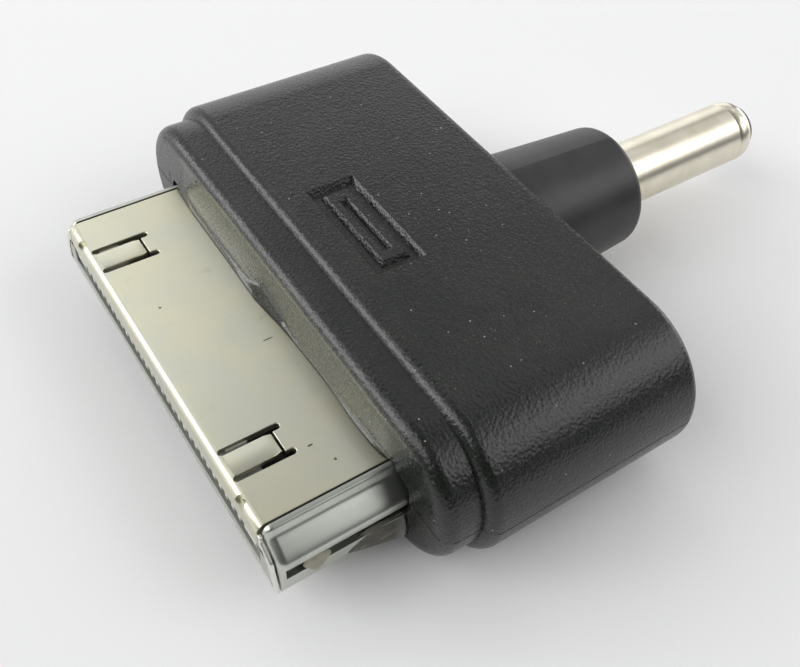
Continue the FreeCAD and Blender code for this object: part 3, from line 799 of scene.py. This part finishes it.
collarLip = {
    # along the top sheet: (x, how far the nose and the knee stand ahead, rise of the knee)
    "stations": [(-9.66, 0.10, 0.04, 0.40), (-9.50, 0.36, 0.10, 0.50), (-7.5, 0.46, 0.10, 0.55),
                 (-5.0, 0.48, 0.10, 0.55), (-2.8, 0.51, 0.10, 0.50), (-1.8, 0.54, 0.09, 0.36),
                 (-0.84, 0.55, 0.09, 0.24), (0.0, 0.47, 0.10, 0.17), (0.9, 0.37, 0.13, 0.13),
                 (2.0, 0.30, 0.19, 0.11), (3.0, 0.26, 0.21, 0.10), (4.5, 0.22, 0.19, 0.10),
                 (5.6, 0.24, 0.17, 0.12), (6.3, 0.27, 0.13, 0.17), (7.0, 0.31, 0.10, 0.20),
                 (7.7, 0.31, 0.09, 0.21), (8.6, 0.27, 0.08, 0.20), (9.2, 0.20, 0.06, 0.18),
                 (9.62, 0.04, 0.02, 0.14)],
    # beside the plug: (from the middle, depth below the top sheet)
    "sides": [(9.72, 0.0), (9.84, 0.05), (9.94, 0.26), (10.06, 0.38), (10.30, 0.46),
              (10.72, 0.52), (10.90, 0.66), (10.98, 0.90), (11.02, 3.42), (11.40, 3.42)],
    "sideAhead": 0.006, "sideRise": 0.2, "rightSlack": 0.10, "gap": 0.045,
    "nose": 0.05, "noseShare": 0.6, "chinBack": 0.02, "bellyAhead": 0.72, "bellyKnee": 0.28,
    "bellyRise": 0.45, "top": 1.84, "topIn": 0.02, "backIn": 0.25}


def makeCollarLip():
    # wavy lip of the moulding that closes the opening above and beside the top sheet
    look = collarLip
    collar = cornersOf("upper_housing")[0].y
    base = plugTop + look["gap"]
    ahead, rise, slack = look["sideAhead"], look["sideRise"], look["rightSlack"]
    left = [(-x, ahead, ahead, base - down, rise) for x, down in reversed(look["sides"])]
    middle = [(x, nose, knee, base, rise) for x, nose, knee, rise in look["stations"]]
    right = [(x + slack, ahead, ahead, base + slack - down, rise) for x, down in look["sides"]]
    top, back = plugTop + look["top"], collar + look["backIn"]
    sections = []
    for x, ahead, knee, under, rise in left + middle + right:
        belly = collar - ahead * look["bellyAhead"] - knee * look["bellyKnee"]
        sections.append([
            (x, collar - ahead + look["chinBack"], under),
            (x, collar - ahead, under + look["nose"] * look["noseShare"]),
            (x, belly, under + rise * look["bellyRise"]),
            (x, collar - knee, under + rise),
            (x, collar + look["topIn"], top), (x, back, top), (x, back, under)])
    piece = drawSkin("collarLip", [list(rail) for rail in zip(*sections)])
    finishPiece(piece, "housing", "housing_black", smooth=55)


sideFlash = {
    # along the window on one side: (y, high edge, low edge, bulge)
    "resinDrop": [(-17.22, 3.30, 3.15, 0.0), (-17.08, 3.46, 2.95, 0.02),
                  (-16.85, 3.50, 2.62, 0.05), (-16.60, 3.46, 2.30, 0.07),
                  (-16.35, 3.40, 2.62, 0.05), (-16.10, 3.32, 2.95, 0.03),
                  (-15.95, 3.28, 3.10, 0.0)],
    "resinFlap": [(-15.25, 2.38, 2.22, 0.0), (-15.05, 2.70, 2.14, 0.02),
                  (-14.75, 2.95, 2.04, 0.05), (-14.40, 3.20, 1.92, 0.08),
                  (-14.00, 3.26, 1.80, 0.11), (-13.50, 3.20, 1.70, 0.14),
                  (-13.00, 3.12, 1.60, 0.17), (-12.60, 3.04, 1.52, 0.19),
                  (-12.46, 2.95, 1.55, 0.19)],
    "thick": 0.05, "rootIn": 0.10, "proud": 0.015,
    # share of the bulge and of the height at the middle and near the low edge
    "middleBulge": 0.6, "lowBulge": 1.5, "outMiddle": 0.35, "inMiddle": 0.45, "lowRise": 0.12}


def makeSideFlash(name):
    # a blob of set resin over the window's edge on the +X side
    look = sideFlash
    wall = plugHigh.x + lowerShell["overhang"]
    thick = look["thick"]
    sections = []
    for y, high, low, bulge in look[name]:
        tall = high - low
        middle = wall + bulge * look["middleBulge"]
        lower = wall + look["proud"] + bulge * look["lowBulge"]
        sections.append([
            (wall - look["rootIn"], y, high),
            (middle, y, high - tall * look["outMiddle"]),
            (lower, y, low + tall * look["lowRise"]),
            (lower - thick, y, low),
            (middle - thick, y, high - tall * look["inMiddle"]),
            (wall - look["rootIn"] - thick, y, high - thick)])
    piece = drawSkin(name, [list(rail) for rail in zip(*sections)])
    modify(piece, "SUBSURF", levels=2, render_levels=2)
    finishPiece(piece, "housing", "comb_grey", finish=resinFinish, smooth=80)


barrel = {
    "radius": 1.75, "wall": 0.4, "steps": 72,
    # the rounded end: (back from the tip, drop below the radius)
    "nose": [(0.0, 0.36), (0.02, 0.26), (0.08, 0.16), (0.18, 0.08), (0.30, 0.03), (0.46, 0.0)],
    "ringAt": 1.05, "ringWidth": 0.12, "ringFloor": 0.01, "ringDeep": 0.05,
    "rootStep": 0.02, "rootDrop": 0.2, "boreIn": 0.06}


def makeBarrel():
    # the tube's section spun round its axis
    look = barrel
    low, high = cornersOf("barrel_sleeve")
    axis = (low.z + high.z) / 2
    outer = look["radius"]
    bossEnd = cornersOf("boss_sleeve")[1].y
    tip = high.y
    ring = tip - look["ringAt"]
    ringEdge = look["ringWidth"] / 2
    groove, root = outer - look["ringDeep"], outer - look["rootDrop"]
    inner = outer - look["wall"]
    section = [(tip - back, outer - drop) for back, drop in look["nose"]]
    section += [(ring + ringEdge, outer), (ring + look["ringFloor"], groove),
                (ring - look["ringFloor"], groove), (ring - ringEdge, outer)]
    section += [(bossEnd + look["rootStep"], outer), (bossEnd - look["rootStep"], root),
                (low.y, root), (low.y, inner), (tip - look["boreIn"], inner)]
    points = [(0, y, axis + radius) for y, radius in section]
    piece = startDrawing("barrelTube")
    drawLine(points)
    pick(piece, "VERT", lambda corner: atPoint(corner, (points[0], points[-1])))
    bpy.ops.mesh.edge_face_add()
    bpy.ops.mesh.select_all(action="SELECT")
    bpy.ops.mesh.spin(steps=look["steps"], angle=math.tau,
                      center=(0, 0, axis * mm), axis=(0, 1, 0))
    leave()
    finishPiece(piece, "housing", "barrel_nickel", "barrel_sleeve", smooth=50)


makeTopSheet()
for side in (-1, 1):
    makeTab(side)
# painted highlight: the rim in front gets a paler copy of the frame's finish
paintedBrightRimFinish = satinFrame("plugRimPaintedBright", (0.80, 0.80, 0.75), (0.74, 0.74, 0.68))
makeLowerShell()
makeCollarLip()
resinFinish = setResin()
for name in ("resinDrop", "resinFlap"):
    makeSideFlash(name)
makeBarrel()
print("pieces made")

# sizes in metres, tint of the room and the strength of its light
stageLook = {
    "floorSize": 1.6, "floorTint": (0.94, 0.94, 0.945), "floorRough": 0.9,
    "fibre": 0.5 * mm, "fibreDepth": 0.03 * mm, "fibreStrength": 0.15,
    "lampPlace": 0.60, "roomTint": (0.97, 0.985, 1.0), "roomLight": 0.05}

# soft boxes round the table: direction, height angle, width and height in metres, power in watts
lamps = {
    "window": (232, 18, 0.40, 0.28, 1.75),
    "left": (190, 32, 0.40, 0.64, 0.70),
    "frontHigh": (262, 45, 0.50, 0.34, 1.45),
    "back": (90, 15, 0.44, 0.30, 1.10),
    "backHigh": (95, 52, 0.44, 0.36, 0.30),
    "backLeft": (148, 18, 0.50, 0.34, 0.70),
    "topLeft": (148, 53, 0.50, 0.30, 0.24),
    "backRight": (45, 38, 0.44, 0.36, 1.10),
    "top": (0, 85, 0.50, 0.50, 0.15),
}


def makeFloor():
    look = stageLook
    bpy.ops.object.select_all(action="DESELECT")
    bpy.ops.mesh.primitive_plane_add(size=look["floorSize"], location=(0, 0, cadLow.z))
    floor = bpy.context.object
    floor.name = "floor"
    finish = Finish("floorPaper")
    fibre = finish.noise(look["fibre"], detail=4.0, roughness=0.6)
    floor.data.materials.append(finish.shade(
        Base_Color=look["floorTint"], Roughness=look["floorRough"],
        Normal=finish.bump(fibre, look["fibreDepth"], look["fibreStrength"])))


def makeLamp(name):
    around, up, width, height, power = lamps[name]
    lamp = bpy.data.lights.new(name, "AREA")
    lamp.shape = "RECTANGLE"
    lamp.size, lamp.size_y = width, height
    lamp.energy = power
    turn = Euler((0, math.radians(-up), math.radians(around)))
    holder = bpy.data.objects.new(name, lamp)
    bpy.context.scene.collection.objects.link(holder)
    way = turn.to_matrix() @ Vector((1, 0, 0))
    holder.location = way * stageLook["lampPlace"]
    holder.rotation_euler = (-way).to_track_quat("-Z", "Y").to_euler()


def makeRoom():
    # dim even light from all round, in the colour of pale walls
    room = bpy.data.worlds.new("room")
    room.use_nodes = True
    walls = room.node_tree.nodes["Background"].inputs
    walls["Color"].default_value = (*stageLook["roomTint"], 1.0)
    walls["Strength"].default_value = stageLook["roomLight"]
    bpy.context.scene.world = room
    bpy.context.scene.view_settings.view_transform = "Standard"


# place in metres, turn in degrees, lens and sensor in millimetres
cameraLook = {
    "place": (25.717 * mm, -24.865 * mm, 35.946 * mm), "turn": (41.065, -3.373, 56.399),
    "lens": 41.5, "sensor": 36.0, "nearest": 0.001}


def makeCamera():
    camera = bpy.data.cameras.new("camera")
    camera.lens = cameraLook["lens"]
    camera.sensor_width = cameraLook["sensor"]
    camera.clip_start = cameraLook["nearest"]
    holder = bpy.data.objects.new("camera", camera)
    bpy.context.scene.collection.objects.link(holder)
    holder.location = cameraLook["place"]
    holder.rotation_euler = [math.radians(angle) for angle in cameraLook["turn"]]
    bpy.context.scene.camera = holder


makeFloor()
makeRoom()
for lampName in lamps:
    makeLamp(lampName)
makeCamera()
print("stage, lights and camera made")
